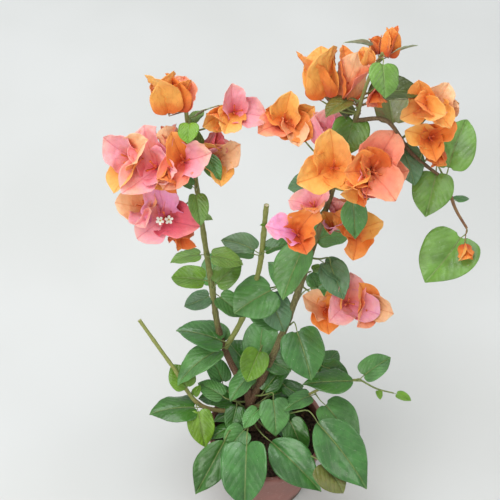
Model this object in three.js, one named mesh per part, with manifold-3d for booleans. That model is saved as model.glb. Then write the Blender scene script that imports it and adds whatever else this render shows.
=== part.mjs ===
// A young bougainvillea in a round nursery pot: a short woody stem that forks just above the soil,
// thin boughs, two of them cut back, and open sprays of leaves and of papery bracts.
// Millimetres, +Z up. The origin is the middle of the pot's flat underside.

import * as THREE from "three";
import { mergeVertices } from "three/addons/utils/BufferGeometryUtils.js";
import Module from "manifold-3d";

const wasm = await Module();
wasm.setup();

// Sizes of the pot and of what fills it
const pot = {
  rimRadius: 75,
  baseRadius: 54,
  height: 130,
  wall: 2.4,
  floor: 3,
  lipHeight: 13,
  lipProud: 3.5,
  edge: 1.2,
  facets: 36,
  drainHoles: 6,
  drainRadius: 4,
  drainRing: 38,
};
const soil = { belowRim: 20, dish: 2.5, flatRadius: 40 };
const clearance = 0.35;
const soilTop = pot.height - soil.belowRim;

// Sizes that every leaf, bract and twig follows
const leafShape = {
  widthShare: 0.72,
  thickness: 1,
  stalkShare: 0.2,
  stalkRadius: 0.85,
  sunk: 1,
  rows: [
    [0.12, 0.8],
    [0.4, 1.0],
    [0.76, 0.56],
  ],
};
const bractShape = {
  length: 42,
  widthShare: 0.88,
  stalk: 13,
  thickness: 0.8,
  flare: 46,
  curl: 26,
  fold: 10,
  rows: [
    [0.12, 0.3],
    [0.44, 1.0],
    [0.8, 0.6],
  ],
};
const twig = { radius: 1.3, tipRadius: 0.9, sides: 4, stalkRadius: 0.8, hubRadius: 2 };

// The woody parts. Each one starts inside its parent, at that share of the parent's length, and
// passes through the via points to its tip. radius is at its foot and at its tip.
const trunkFoot = [-19, 14, soilTop + clearance];
const limbs = [
  {
    name: "trunk",
    via: [[-21, 22, 133]],
    tip: [-24, 36, 162],
    radius: [7, 5.4],
    flare: 5,
    steps: 8,
    sides: 10,
  },
  {
    name: "bough_left",
    on: "trunk",
    at: 0.8,
    via: [
      [-56, 76, 205],
      [-70, 100, 325],
    ],
    tip: [-88, 126, 575],
    radius: [4.4, 2.2],
  },
  {
    name: "bough_right",
    on: "trunk",
    at: 0.62,
    via: [
      [20, 70, 250],
      [58, 95, 430],
    ],
    tip: [86, 100, 598],
    radius: [4.8, 2.5],
  },
  {
    name: "bough_right_top",
    on: "bough_right",
    at: 0.97,
    via: [[92, 99, 640]],
    tip: [102, 100, 672],
    radius: [2.1, 1.5],
  },
  {
    name: "bough_right_side",
    on: "bough_right",
    at: 0.97,
    via: [
      [112, 92, 592],
      [142, 80, 556],
    ],
    tip: [186, 74, 518],
    radius: [2.3, 1.6],
  },
  {
    name: "stub_middle",
    on: "bough_left",
    at: 0.16,
    via: [
      [-34, 88, 240],
      [-12, 108, 318],
    ],
    tip: [-3, 130, 418],
    radius: [3.6, 3],
  },
  {
    name: "stub_low_left",
    on: "trunk",
    at: 0.42,
    via: [
      [-84, 18, 154],
      [-121, 50, 200],
    ],
    tip: [-160, 85, 250],
    radius: [3, 2.3],
  },
  {
    name: "shoot_low_right",
    on: "trunk",
    at: 0.55,
    via: [
      [36, 20, 166],
      [80, 27, 192],
    ],
    tip: [114, 26, 206],
    radius: [2.2, 1.4],
  },
];

// Sprays of leaves, by the limb that carries them. at is the place along the limb, and reach is
// where the spray's twig ends, from there. Each leaf has its compass direction, its climb, its
// length and, where it is not the usual one, its share of width. The leaves are spread along the
// twig from first to its end.
const foliage = {
  bough_left: [
    { name: "leaves_left_top", at: 0.93, reach: [4, -10, 22], leaves: [[60, 0, 26], [32, 20, 30]] },
    {
      name: "leaves_left_high", at: 0.86, reach: [12, -6, 0],
      leaves: [[60, 45, 28], [304, -40, 32, 0.55]],
    },
    {
      name: "leaves_left_upper", at: 0.76, reach: [-4, -8, 2],
      leaves: [[150, 20, 32], [290, -40, 38, 0.55]],
    },
    { name: "leaves_left_bend", at: 0.53, reach: [0, -12, 6], leaves: [[185, -8, 36], [358, -15, 38]] },
    { name: "leaves_left_elbow", at: 0.44, reach: [2, -14, -6], leaves: [[172, -15, 44], [20, 8, 42]] },
    {
      name: "leaves_left_back", at: 0.35, reach: [2, 8, 4],
      leaves: [[200, -30, 36], [320, -30, 40], [95, 5, 48]],
    },
    {
      name: "leaves_fork", at: 0.17, reach: [-6, -8, 10],
      leaves: [[125, -25, 40], [218, -23, 62], [178, -8, 60]],
    },
  ],
  stub_middle: [
    {
      name: "leaves_stub_high", at: 0.7, reach: [-2, -8, 4],
      leaves: [[155, 0, 44], [25, -5, 36], [173, -13, 44]],
    },
    { name: "leaves_stub_low", at: 0.46, reach: [4, -12, 6], leaves: [[55, 0, 48], [234, -25, 58, 0.95]] },
  ],
  bough_right: [
    {
      name: "leaves_right_low", at: 0.27, reach: [4, -10, 2],
      leaves: [[160, 0, 50], [295, -35, 66, 0.76]],
    },
    { name: "leaves_right_mid", at: 0.56, reach: [-4, -14, 8], leaves: [[30, -10, 46], [238, -33, 68]] },
    { name: "leaves_right_inner", at: 0.52, reach: [20, -6, 8], leaves: [[321, -14, 42], [288, -25, 44]] },
    { name: "leaves_right_back", at: 0.73, reach: [-4, 16, 6], leaves: [[60, 0, 42], [165, 0, 50]] },
    {
      name: "leaves_right_upper", at: 0.76, reach: [18, -10, 8],
      leaves: [[345, -25, 34], [279, -50, 46, 0.6]],
    },
    {
      name: "leaves_right_high", at: 0.94, reach: [-2, -10, 38],
      leaves: [[140, 20, 36], [262, -44, 46, 0.84]],
    },
    { name: "leaves_back_right", at: 0.36, reach: [10, 12, 2], leaves: [[120, 10, 50], [20, 0, 54]] },
  ],
  bough_right_top: [
    { name: "leaves_crown", at: 0.86, reach: [2, -8, 10], leaves: [[348, -10, 26], [279, -50, 38, 0.9]] },
    { name: "leaves_crown_back", at: 0.3, reach: [-8, 4, 0], leaves: [[92, 0, 38], [218, 0, 34]] },
  ],
  bough_right_side: [
    { name: "leaves_side_near", at: 0.28, reach: [2, -6, 10], leaves: [[225, -20, 36], [60, -5, 58]] },
    {
      name: "leaves_side_tip", at: 1, reach: [-6, 14, 16], first: 0.3,
      leaves: [[74, 20, 62, 0.66], [268, -25, 62, 0.86]],
    },
    {
      name: "leaves_side_end", at: 0.95, reach: [22, -16, -56],
      leaves: [[30, -20, 34], [225, -30, 64, 0.85]],
    },
  ],
  trunk: [
    {
      name: "leaves_heart", at: 0.95, reach: [4, 12, 46],
      leaves: [[213, -13, 44], [65, 5, 40], [280, -34, 40]],
    },
    {
      name: "leaves_heart_right", at: 0.88, reach: [32, -26, 30],
      leaves: [[90, 45, 38], [270, -34, 46, 0.8]],
    },
    { name: "leaves_heart_left", at: 0.7, reach: [-28, -6, 16], leaves: [[255, -20, 32], [150, 0, 38]] },
    {
      name: "leaves_front", at: 0.5, reach: [-4, -52, 34], first: 0.6,
      leaves: [[236, -22, 44, 0.84], [264, -31, 72, 0.76]],
    },
    {
      name: "leaves_front_left", at: 0.3, reach: [-26, -36, 28],
      leaves: [[200, -10, 40, 0.6], [240, -50, 74, 0.44]],
    },
    { name: "leaves_front_right", at: 0.3, reach: [12, -40, 28], leaves: [[318, -20, 88, 0.54]] },
    {
      name: "leaves_rim_right", at: 0.45, reach: [62, -26, 34], first: 0.6,
      leaves: [[329, -17, 54, 0.78], [318, -26, 96, 0.6]],
    },
    { name: "leaves_back", at: 0.8, reach: [14, 34, 22], leaves: [[40, 0, 58], [135, 0, 54], [90, 5, 60]] },
  ],
  stub_low_left: [
    { name: "leaves_low_left", at: 0.36, reach: [0, -8, 8], leaves: [[50, 10, 20], [107, 26, 40]] },
    {
      name: "leaves_low_left_foot", at: 0.26, reach: [-4, -10, 2],
      leaves: [[188, -10, 64, 0.6], [275, -33, 50, 0.62]],
    },
  ],
  shoot_low_right: [
    {
      name: "leaves_shoot_low", at: 0.6, reach: [4, -10, 2],
      leaves: [[200, -10, 40], [317, -21, 72, 0.66]],
    },
    { name: "leaves_shoot_mid", at: 0.66, reach: [-4, 26, 14], leaves: [[60, 0, 40], [344, -17, 38]] },
    {
      name: "leaves_shoot_tip", at: 1, reach: [34, -16, 0], first: 0.14,
      leaves: [[183, -9, 66, 0.58], [31, 6, 52], [0, 0, 26]],
    },
  ],
};

// Sprays of blossom. Each bloom is three bracts round the end of its own stalk, which has its
// compass direction, its climb, its size, and how far the bracts are turned round it.
const blossom = {
  bough_left: [
    {
      name: "blossom_left_top", hue: "orange", at: 1, reach: [0, 0, 4],
      blooms: [[190, 20, 1.1, 0], [60, 60, 0.8, 30]],
    },
    {
      name: "blossom_left_inner", hue: "orange", at: 0.93, reach: [38, 10, 14],
      blooms: [[300, 50, 1, 30], [185, 45, 0.55, 90]],
    },
    {
      name: "blossom_left_mid", hue: "coral", at: 0.86, reach: [16, 6, -4],
      blooms: [[335, 0, 1, 40], [80, 50, 0.6, 0]],
    },
    {
      name: "blossom_left_near", hue: "coral", at: 0.86, reach: [-8, -18, 0],
      blooms: [[290, 55, 1, 0], [215, 30, 0.8, 90]],
    },
    {
      name: "blossom_left_outer", hue: "pink", at: 0.84, reach: [-46, -2, -2],
      blooms: [[160, 55, 1.05, 60], [240, 40, 1.1, 0]],
    },
    {
      name: "blossom_left_low", hue: "pink", at: 0.73, reach: [-38, -18, -24],
      blooms: [[200, 40, 1.1, 0], [310, 50, 1.05, 60]],
    },
  ],
  bough_right: [
    {
      name: "blossom_middle_back", hue: "orange", at: 0.82, reach: [-40, 28, 24],
      blooms: [[220, 50, 1.05, 30], [30, 60, 0.7, 0]],
    },
    {
      name: "blossom_centre_left", hue: "orange", at: 0.84, reach: [-6, -22, 8],
      blooms: [[245, 50, 1.15, 30], [120, 40, 0.75, 0]],
    },
    {
      name: "blossom_centre_right", hue: "coral", at: 0.86, reach: [18, -26, 0],
      blooms: [[330, 50, 1.15, 60], [250, -20, 0.7, 0]],
    },
    {
      name: "blossom_middle_low", hue: "coral", at: 0.7, reach: [-20, -10, -14],
      blooms: [[200, 35, 1, 30], [90, 60, 0.7, 0]],
    },
    {
      name: "blossom_right_low", hue: "orange", at: 0.64, reach: [20, -14, -2],
      blooms: [[350, 30, 0.85, 0], [230, 50, 0.7, 60]],
    },
    {
      name: "blossom_right_front", hue: "pink", at: 0.42, reach: [46, -26, 0],
      blooms: [[10, 45, 1.1, 30], [200, 30, 0.9, 90]],
    },
  ],
  bough_right_top: [
    {
      name: "blossom_crown_left", hue: "orange", at: 0.12, reach: [-24, 4, 16],
      blooms: [[180, 65, 1.1, 90], [50, 70, 1, 0]],
    },
    {
      name: "blossom_crown", hue: "orange", at: 1, reach: [2, -2, 2],
      blooms: [[20, 30, 0.65, 30], [190, -10, 0.42, 0]],
    },
  ],
  bough_right_side: [
    {
      name: "blossom_side_upper", hue: "orange", at: 0.42, reach: [20, 12, 26],
      blooms: [[60, 60, 1.05, 30], [0, 20, 0.7, 0]],
    },
    { name: "blossom_side_lower", hue: "orange", at: 0.66, reach: [2, 2, 8], blooms: [[20, 50, 0.85, 90]] },
  ],
};

const colours = {
  pot: 0x8a5248,
  soil: 0x3a2a20,
  bark: 0x6f5a3c,
  shoot: 0x7d8a45,
  leaf: 0x5d9450,
  orange: 0xf08a3c,
  coral: 0xf08468,
  pink: 0xf090a0,
};

// A repeatable draw between 0 and 1, the same for the same seed
function seeded(text) {
  let state = 7;
  for (const letter of text) state = (Math.imul(state, 31) + letter.charCodeAt(0)) >>> 0;
  return () => {
    state = (Math.imul(state, 1664525) + 1013904223) >>> 0;
    return state / 4294967296;
  };
}

const vector = (list) => new THREE.Vector3(...list);
const radians = THREE.MathUtils.degToRad;
const mix = THREE.MathUtils.lerp;

function heading(compass, climb) {
  const flat = Math.cos(radians(climb));
  return new THREE.Vector3(
    flat * Math.cos(radians(compass)),
    flat * Math.sin(radians(compass)),
    Math.sin(radians(climb)),
  );
}

// Any closed geometry as a solid that can be joined and cut
function solidOf(geometry) {
  const bare = geometry.index ? geometry.toNonIndexed() : geometry.clone();
  bare.deleteAttribute("normal");
  bare.deleteAttribute("uv");
  const merged = mergeVertices(bare, 1e-4);
  return new wasm.Manifold(
    new wasm.Mesh({
      numProp: 3,
      vertProperties: new Float32Array(merged.attributes.position.array),
      triVerts: new Uint32Array(merged.index.array),
    }),
  );
}

function geometryOf(solid) {
  const mesh = solid.getMesh();
  const places = new Float32Array(mesh.numVert * 3);
  for (let i = 0; i < mesh.numVert; i++)
    places.set(mesh.vertProperties.subarray(i * mesh.numProp, i * mesh.numProp + 3), i * 3);
  const geometry = new THREE.BufferGeometry();
  geometry.setAttribute("position", new THREE.BufferAttribute(places, 3));
  geometry.setIndex(new THREE.BufferAttribute(new Uint32Array(mesh.triVerts), 1));
  geometry.computeVertexNormals();
  return geometry;
}

function indexed(points, faces) {
  const geometry = new THREE.BufferGeometry().setFromPoints(points);
  geometry.setIndex(faces.flat());
  return geometry;
}

// A closed tapering limb along a curve, with flat ends
function taperedTube(curve, radiusAt, steps, sides) {
  const frames = curve.computeFrenetFrames(steps, false);
  const points = [];
  const faces = [];
  for (let i = 0; i <= steps; i++) {
    const centre = curve.getPointAt(i / steps);
    const radius = radiusAt(i / steps);
    for (let j = 0; j < sides; j++) {
      const angle = (2 * Math.PI * j) / sides;
      points.push(
        centre
          .clone()
          .addScaledVector(frames.normals[i], radius * Math.cos(angle))
          .addScaledVector(frames.binormals[i], radius * Math.sin(angle)),
      );
    }
  }
  const ring = (i, j) => i * sides + (j % sides);
  for (let i = 0; i < steps; i++)
    for (let j = 0; j < sides; j++) {
      faces.push([ring(i, j), ring(i, j + 1), ring(i + 1, j)]);
      faces.push([ring(i, j + 1), ring(i + 1, j + 1), ring(i + 1, j)]);
    }
  for (let j = 1; j < sides - 1; j++) {
    faces.push([ring(0, 0), ring(0, j + 1), ring(0, j)]);
    faces.push([ring(steps, 0), ring(steps, j), ring(steps, j + 1)]);
  }
  return solidOf(indexed(points, faces));
}

// A leaf or bract: a thin lens in its own outline, folded along its midrib and bent along its
// length. face is the way its upper side looks, and bend turns its tip away from face. A stalk,
// where there is one, runs up to base.
function blade({ base, along, face, length, width, bend, fold, thickness, rows, stalk = 0 }) {
  const side = along.clone().cross(face).normalize();
  const up = side.clone().cross(along).normalize();
  const thick = thickness / 2;
  const sections = rows.map(([share, wide]) => ({ share, half: (width / 2) * wide, thick, fold }));
  const round = { half: leafShape.stalkRadius, thick: leafShape.stalkRadius, fold: 0 };
  if (stalk) sections.unshift({ share: (-0.8 * stalk) / length, ...round }, { share: 0, ...round });
  const place = base.clone().addScaledVector(along, -stalk);
  let reached = -stalk / length;
  const walkTo = (share) => {
    const turn = radians(bend) * Math.max(0, (reached + share) / 2);
    place.addScaledVector(along, Math.cos(turn) * (share - reached) * length);
    place.addScaledVector(up, -Math.sin(turn) * (share - reached) * length);
    reached = share;
    return place.clone();
  };
  const points = [place.clone()];
  for (const section of sections) {
    const centre = walkTo(section.share);
    const turn = radians(bend) * Math.max(0, section.share);
    const normal = up.clone().multiplyScalar(Math.cos(turn)).addScaledVector(along, Math.sin(turn));
    const lift = section.half * Math.sin(radians(section.fold));
    const reach = section.half * Math.cos(radians(section.fold));
    for (const hand of [-1, 1])
      points.push(centre.clone().addScaledVector(side, hand * reach).addScaledVector(normal, lift));
    for (const hand of [1, -1])
      points.push(centre.clone().addScaledVector(normal, hand * section.thick));
  }
  points.push(walkTo(1));
  const last = points.length - 1;
  const row = (i) => 1 + i * 4;
  const [left, right, top, under] = [0, 1, 2, 3];
  const around = [[left, top], [top, right], [right, under], [under, left]];
  const end = row(sections.length - 1);
  const faces = [];
  for (const [p, q] of around) {
    faces.push([0, row(0) + p, row(0) + q], [end + p, last, end + q]);
    for (let i = 0; i + 1 < sections.length; i++) {
      const [here, next] = [row(i), row(i + 1)];
      faces.push([here + p, next + p, here + q], [here + q, next + p, next + q]);
    }
  }
  const solid = solidOf(indexed(points, faces));
  return solid.volume() > 0 ? solid : solidOf(indexed(points, faces.map((f) => [f[0], f[2], f[1]])));
}

// Every woody part, in the order listed, so that a parent is there before what grows on it
function growLimbs() {
  const grown = new Map();
  for (const limb of limbs) {
    const parent = grown.get(limb.on);
    const foot = parent ? parent.curve.getPointAt(limb.at) : vector(trunkFoot);
    const places = [foot, ...limb.via.map(vector), vector(limb.tip)];
    const curve = new THREE.CatmullRomCurve3(places, false, "centripetal");
    const radiusAt = (share) =>
      mix(limb.radius[0], limb.radius[1], share) + (limb.flare ?? 0) * Math.max(0, 1 - share * 5) ** 2;
    const steps = limb.steps ?? Math.round(curve.getLength() / 22);
    const sides = limb.sides ?? 7;
    const tube = (extra) => taperedTube(curve, (share) => radiusAt(share) + extra, steps, sides);
    grown.set(limb.name, { curve, radiusAt, parent, solid: tube(0), swollen: tube(clearance) });
  }
  // The trunk stands flat on the soil, and each bough is cut clear of what carries it
  const [footX, footY, footZ] = trunkFoot;
  const ground = solidOf(new THREE.BoxGeometry(80, 80, 40).translate(footX, footY, footZ - 20));
  for (const [name, limb] of grown) {
    if (!limb.parent) limb.solid = limb.solid.subtract(ground);
    for (const [other, carrier] of grown) {
      if (other === name) break;
      limb.solid = largest(limb.solid.subtract(carrier.swollen));
    }
    limb.box = boxOf(limb.solid);
    limb.swollenBox = boxOf(limb.swollen);
  }
  return grown;
}

function largest(solid) {
  const bodies = solid.decompose();
  return bodies.sort((a, b) => b.volume() - a.volume())[0];
}

function boxOf(solid) {
  const { min, max } = solid.boundingBox();
  return new THREE.Box3(vector(min), vector(max));
}

// What each spray has to stay out of: the pot, the soil, the limbs and the sprays grown before it
function meets(solid, others) {
  const box = boxOf(solid);
  const overlap = (other) => box.intersectsBox(other.box) && solid.intersect(other.solid).volume() > 0;
  return others.some(overlap);
}

function sprayTwig(spray, host) {
  const foot = host.curve.getPointAt(spray.at);
  const reach = vector(spray.reach);
  const sag = new THREE.Vector3(0, 0, -0.12 * reach.length());
  const middle = foot.clone().addScaledVector(reach, 0.5).add(sag);
  return new THREE.CatmullRomCurve3([foot, middle, foot.clone().add(reach)], false, "centripetal");
}

function twigSolid(curve) {
  const steps = Math.max(2, Math.round(curve.getLength() / 16));
  return taperedTube(curve, (share) => mix(twig.radius, twig.tipRadius, share), steps, twig.sides);
}

// The leaves of a spray sit along its twig, each on a petiole that is sunk into it. bare is the
// share of the twig that has to stay free of leaves, because it lies inside the limb.
function growLeaves(spray, curve, blocked, bare) {
  const draw = seeded(spray.name);
  const first = Math.max(spray.first ?? 0.45, bare);
  const made = [];
  spray.leaves.forEach(([compass, climb, long, wide = leafShape.widthShare], i) => {
    const share = spray.leaves.length === 1 ? 1 : mix(first, 1, i / (spray.leaves.length - 1));
    const shape = {
      long,
      bend: mix(23, 48, draw()),
      roll: mix(-20, 20, draw()),
      fold: mix(5, 17, draw()),
      width: long * wide * mix(0.94, 1.1, draw()),
    };
    const leaf = makeLeaf(curve.getPointAt(share), compass, climb, shape);
    if (!meets(leaf, blocked)) made.push(leaf);
  });
  return made;
}

function makeLeaf(from, compass, climb, { long, bend, roll, fold, width }) {
  const along = heading(compass, climb + bend / 2);
  const stalk = long * leafShape.stalkShare + leafShape.sunk;
  return blade({
    base: from.clone().addScaledVector(along, stalk - leafShape.sunk),
    along,
    face: new THREE.Vector3(0, 0, 1).applyAxisAngle(along, radians(roll)),
    length: long,
    width,
    bend,
    fold,
    thickness: leafShape.thickness,
    rows: leafShape.rows,
    stalk,
  });
}

// A bloom is three bracts that stand round the end of its stalk and open outwards
function growBlooms(spray, curve, blocked) {
  const draw = seeded(spray.name);
  const from = curve.getPointAt(1);
  const made = [];
  spray.blooms.forEach(([compass, climb, size, turn]) => {
    const petals = [0, 1, 2].map(() => ({
      flare: bractShape.flare * mix(0.75, 1.25, draw()),
      long: bractShape.length * size * mix(0.92, 1.08, draw()),
      bend: bractShape.curl * mix(0.5, 1.4, draw()),
    }));
    const bloom = makeBloom(from, compass, climb, { size, turn, petals });
    if (!meets(bloom, blocked)) made.push(bloom);
  });
  return made;
}

function makeBloom(from, compass, climb, { size, turn, petals }) {
  const axis = heading(compass, climb);
  const heart = from.clone().addScaledVector(axis, size * bractShape.stalk);
  const sideways = new THREE.Vector3(0, 0, 1).cross(axis).normalize();
  const parts = petals.map(({ flare, long, bend }, i) => {
    const outward = sideways.clone().applyAxisAngle(axis, radians(turn + i * 120));
    const [sin, cos] = [Math.sin(radians(flare)), Math.cos(radians(flare))];
    const along = axis.clone().multiplyScalar(cos).addScaledVector(outward, sin);
    return blade({
      base: heart.clone().addScaledVector(axis, -1.5),
      along,
      face: axis.clone().multiplyScalar(sin).addScaledVector(outward, -cos),
      length: long,
      width: long * bractShape.widthShare,
      bend,
      fold: bractShape.fold,
      thickness: bractShape.thickness,
      rows: bractShape.rows,
    });
  });
  const foot = from.clone().addScaledVector(axis, -0.6);
  const stalk = new THREE.LineCurve3(foot, heart.clone().addScaledVector(axis, 1));
  const swell = (share) => (share < 0.7 ? twig.stalkRadius : twig.hubRadius);
  parts.push(taperedTube(stalk, swell, 2, 4));
  return wasm.Manifold.union(parts);
}

function growSpray(spray, grown, taken) {
  const host = grown.get(spray.on);
  const curve = sprayTwig(spray, host);
  const blocked = taken.filter((item) => item.solid !== host.swollen);
  const grow = spray.blooms ? growBlooms : growLeaves;
  const bare = (host.radiusAt(spray.at) + 2.5) / curve.getLength();
  const blades = grow(spray, curve, taken, bare);
  let whole = wasm.Manifold.union([twigSolid(curve), ...blades]).subtract(host.swollen);
  for (const item of blocked) if (boxOf(whole).intersectsBox(item.box)) whole = whole.subtract(item.solid);
  return largest(whole);
}

// The pot's own profile, turned about its axis
function makePot() {
  const { rimRadius, baseRadius, height, wall, floor, lipHeight, lipProud, edge, facets } = pot;
  const underLip = rimRadius - lipProud;
  const lipFoot = height - lipHeight;
  const inside = (z) => mix(baseRadius, underLip, z / lipFoot) - wall;
  const profile = [
    [0, 0],
    [baseRadius - edge, 0],
    [baseRadius, edge],
    [underLip, lipFoot],
    [rimRadius - edge / 2, lipFoot],
    [rimRadius, lipFoot + edge],
    [rimRadius, height - edge],
    [rimRadius - edge, height],
    [inside(lipFoot) + 1.2, height],
    [inside(lipFoot), height - edge],
    [inside(lipFoot), lipFoot],
    [inside(floor), floor],
    [0, floor],
  ].map(([r, z]) => new THREE.Vector2(r, z));
  const turned = new THREE.LatheGeometry(profile, facets).rotateX(Math.PI / 2);
  let solid = upright(turned);
  for (let i = 0; i < pot.drainHoles; i++) {
    const angle = (2 * Math.PI * i) / pot.drainHoles;
    const drill = new THREE.CylinderGeometry(pot.drainRadius, pot.drainRadius, 4 * floor, 12)
      .rotateX(Math.PI / 2)
      .translate(pot.drainRing * Math.cos(angle), pot.drainRing * Math.sin(angle), 0);
    solid = solid.subtract(solidOf(drill));
  }
  return { solid, inside };
}

// The growing mix fills the pot up to a shallow dish below the rim
function makeSoil(inside) {
  const wallAt = (z) => inside(z) - clearance;
  const low = pot.floor + clearance;
  const high = soilTop + soil.dish;
  const profile = [
    [0, low],
    [wallAt(low), low],
    [wallAt(high), high],
    [soil.flatRadius + 12, soilTop + 0.4],
    [soil.flatRadius, soilTop],
    [0, soilTop],
  ].map(([r, z]) => new THREE.Vector2(r, z));
  return upright(new THREE.LatheGeometry(profile, pot.facets).rotateX(Math.PI / 2));
}

// A turned profile as a solid, with its faces pointing out whichever way it was drawn
function upright(geometry) {
  const solid = solidOf(geometry);
  if (solid.volume() > 0) return solid;
  const flipped = geometry.toNonIndexed();
  const places = flipped.attributes.position.array;
  for (let i = 0; i < places.length; i += 9) {
    const second = places.slice(i + 3, i + 6);
    places.copyWithin(i + 3, i + 6, i + 9);
    places.set(second, i + 6);
  }
  return solidOf(flipped);
}

function materialFor(colour, roughness) {
  return new THREE.MeshStandardMaterial({ color: colour, roughness, metalness: 0 });
}

const finishes = {
  pot: materialFor(colours.pot, 0.5),
  soil: materialFor(colours.soil, 0.95),
  bark: materialFor(colours.bark, 0.85),
  shoot: materialFor(colours.shoot, 0.6),
  leaf: materialFor(colours.leaf, 0.5),
  orange: materialFor(colours.orange, 0.65),
  coral: materialFor(colours.coral, 0.65),
  pink: materialFor(colours.pink, 0.65),
};

const plant = new THREE.Group();

function addNode(name, solid, finish) {
  const mesh = new THREE.Mesh(geometryOf(solid), finishes[finish]);
  mesh.name = name;
  plant.add(mesh);
}

const { solid: potSolid, inside } = makePot();
const soilSolid = makeSoil(inside);
addNode("pot", potSolid, "pot");
addNode("soil", soilSolid, "soil");

const grown = growLimbs();
for (const [name, limb] of grown) addNode(name, limb.solid, name.startsWith("s") ? "shoot" : "bark");

const taken = [potSolid, soilSolid].map((solid) => ({ solid, box: boxOf(solid), name: "pot or soil" }));
for (const [name, limb] of grown) taken.push({ solid: limb.swollen, box: limb.swollenBox, name });
const byLimb = (table) =>
  Object.entries(table).flatMap(([on, sprays]) => sprays.map((spray) => ({ on, ...spray })));
for (const spray of [...byLimb(blossom), ...byLimb(foliage)]) {
  const solid = growSpray(spray, grown, taken);
  addNode(spray.name, solid, spray.hue ?? "leaf");
  taken.push({ solid, box: boxOf(solid), name: spray.name });
}

export default plant;
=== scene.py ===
from math import atan2, cos, exp, hypot, pi, radians, sin, sqrt

import bmesh
import bpy
import numpy as np
from mathutils import Matrix, Quaternion, Vector, noise


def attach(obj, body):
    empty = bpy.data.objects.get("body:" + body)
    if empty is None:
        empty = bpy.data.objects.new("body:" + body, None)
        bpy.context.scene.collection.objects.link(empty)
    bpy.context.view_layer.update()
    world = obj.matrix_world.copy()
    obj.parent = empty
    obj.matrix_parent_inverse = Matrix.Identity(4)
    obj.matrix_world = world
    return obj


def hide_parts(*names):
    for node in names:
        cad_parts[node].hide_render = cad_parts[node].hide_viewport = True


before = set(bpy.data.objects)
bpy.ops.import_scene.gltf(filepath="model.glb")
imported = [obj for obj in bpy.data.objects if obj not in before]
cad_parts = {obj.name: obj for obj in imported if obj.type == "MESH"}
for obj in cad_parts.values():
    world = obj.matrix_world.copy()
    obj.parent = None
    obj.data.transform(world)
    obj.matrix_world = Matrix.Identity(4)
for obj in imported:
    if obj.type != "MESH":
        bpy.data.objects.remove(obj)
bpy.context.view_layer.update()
mm = 0.001


# Small helpers

def deselectAll():
    bpy.ops.object.select_all(action="DESELECT")


def pick(*things):
    deselectAll()
    for thing in things:
        thing.select_set(True)
    bpy.context.view_layer.objects.active = things[0]


def joinAs(name, things):
    pick(*things)
    if len(things) > 1:
        bpy.ops.object.join()
    joined = bpy.context.object
    joined.name = joined.data.name = name
    return joined


def addObject(name, data):
    thing = bpy.data.objects.new(name, data)
    bpy.context.collection.objects.link(thing)
    return thing


def remove(*things):
    for thing in things:
        bpy.data.objects.remove(thing)


def applyModifier(thing, kind, **settings):
    modifier = thing.modifiers.new(kind.title(), kind)
    for key, value in settings.items():
        setattr(modifier, key, value)
    pick(thing)
    bpy.ops.object.modifier_apply(modifier=modifier.name)


def startEdit(part):
    bpy.ops.object.mode_set(mode="EDIT")
    bpy.ops.mesh.select_mode(type=part)


def endEdit():
    bpy.ops.object.mode_set(mode="OBJECT")


def selectWhere(thing, test, part="verts"):
    mesh = bmesh.from_edit_mesh(thing.data)
    for item in (*mesh.verts, *mesh.faces):
        item.select = False
    mesh.select_flush(False)
    for item in getattr(mesh, part):
        if test(item):
            item.select = True
    mesh.select_flush(True)
    bmesh.update_edit_mesh(thing.data)


def placesOf(mesh):
    places = np.empty(len(mesh.vertices) * 3)
    mesh.vertices.foreach_get("co", places)
    return places.reshape(-1, 3)


def setPlaces(mesh, places):
    mesh.vertices.foreach_set("co", np.ascontiguousarray(places).ravel())
    mesh.update()


def finishPiece(piece, nodes=()):
    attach(piece, "root")
    if nodes:
        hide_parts(*nodes)


# Camera, light and sky

view = {"place": (-0.022, -0.6455, 1.3267), "tilt": 38, "lens": 75}
bpy.ops.object.camera_add(location=view["place"], rotation=(radians(view["tilt"]), 0, 0))
bpy.context.object.data.lens = view["lens"]
bpy.context.scene.camera = bpy.context.object

# Each lamp: its place, what it aims at, its size, watts and hue
studio = {
    "skyLight": ((-0.6, 0.5, 2.6), (0, 0.05, 0.3), 2.2, 52, (0.95, 0.98, 1)),
    "frontLight": ((-1.4, -1.9, 1.9), (0, 0.05, 0.35), 1.6, 30, (1, 0.98, 0.95)),
    "sideLight": ((2.1, -0.4, 1.5), (0, 0.05, 0.35), 1.4, 12, (1, 0.97, 0.93)),
}
for name, (place, aim, size, watts, hue) in studio.items():
    bpy.ops.object.light_add(type="AREA", location=place)
    light = bpy.context.object
    light.name = name
    light.rotation_euler = (Vector(aim) - light.location).to_track_quat("-Z", "Y").to_euler()
    light.data.size = size
    light.data.energy = watts
    light.data.color = hue

sky = {"Color": (0.86, 0.9, 0.93, 1), "Strength": 0.55}
world = bpy.data.worlds.new("softSky")
world.use_nodes = True
for key, value in sky.items():
    world.node_tree.nodes["Background"].inputs[key].default_value = value
bpy.context.scene.world = world
bpy.context.scene.view_settings.view_transform = "Standard"
print("camera and lights are up")


# Materials. A node made from a socket goes into that socket's own tree

def shaderOf(material):
    return material.node_tree.nodes["Principled BSDF"]


def newMaterial(name, **sockets):
    material = bpy.data.materials.new(name)
    material.use_nodes = True
    for key, value in sockets.items():
        shaderOf(material).inputs[key.replace("_", " ")].default_value = value
    return material, material.node_tree


def node(tree, kind, inputs=None, **settings):
    made = tree.nodes.new("ShaderNode" + kind)
    for key, value in settings.items():
        setattr(made, key, value)
    for key, value in (inputs or {}).items():
        if isinstance(value, bpy.types.NodeSocket):
            tree.links.new(value, made.inputs[key])
        elif made.inputs[key].type == "RGBA":
            made.inputs[key].default_value = (*value, 1)
        else:
            made.inputs[key].default_value = value
    return made


def maths(operation, *values):
    return node(values[0].id_data, "Math", dict(enumerate(values)), operation=operation).outputs[0]


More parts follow.
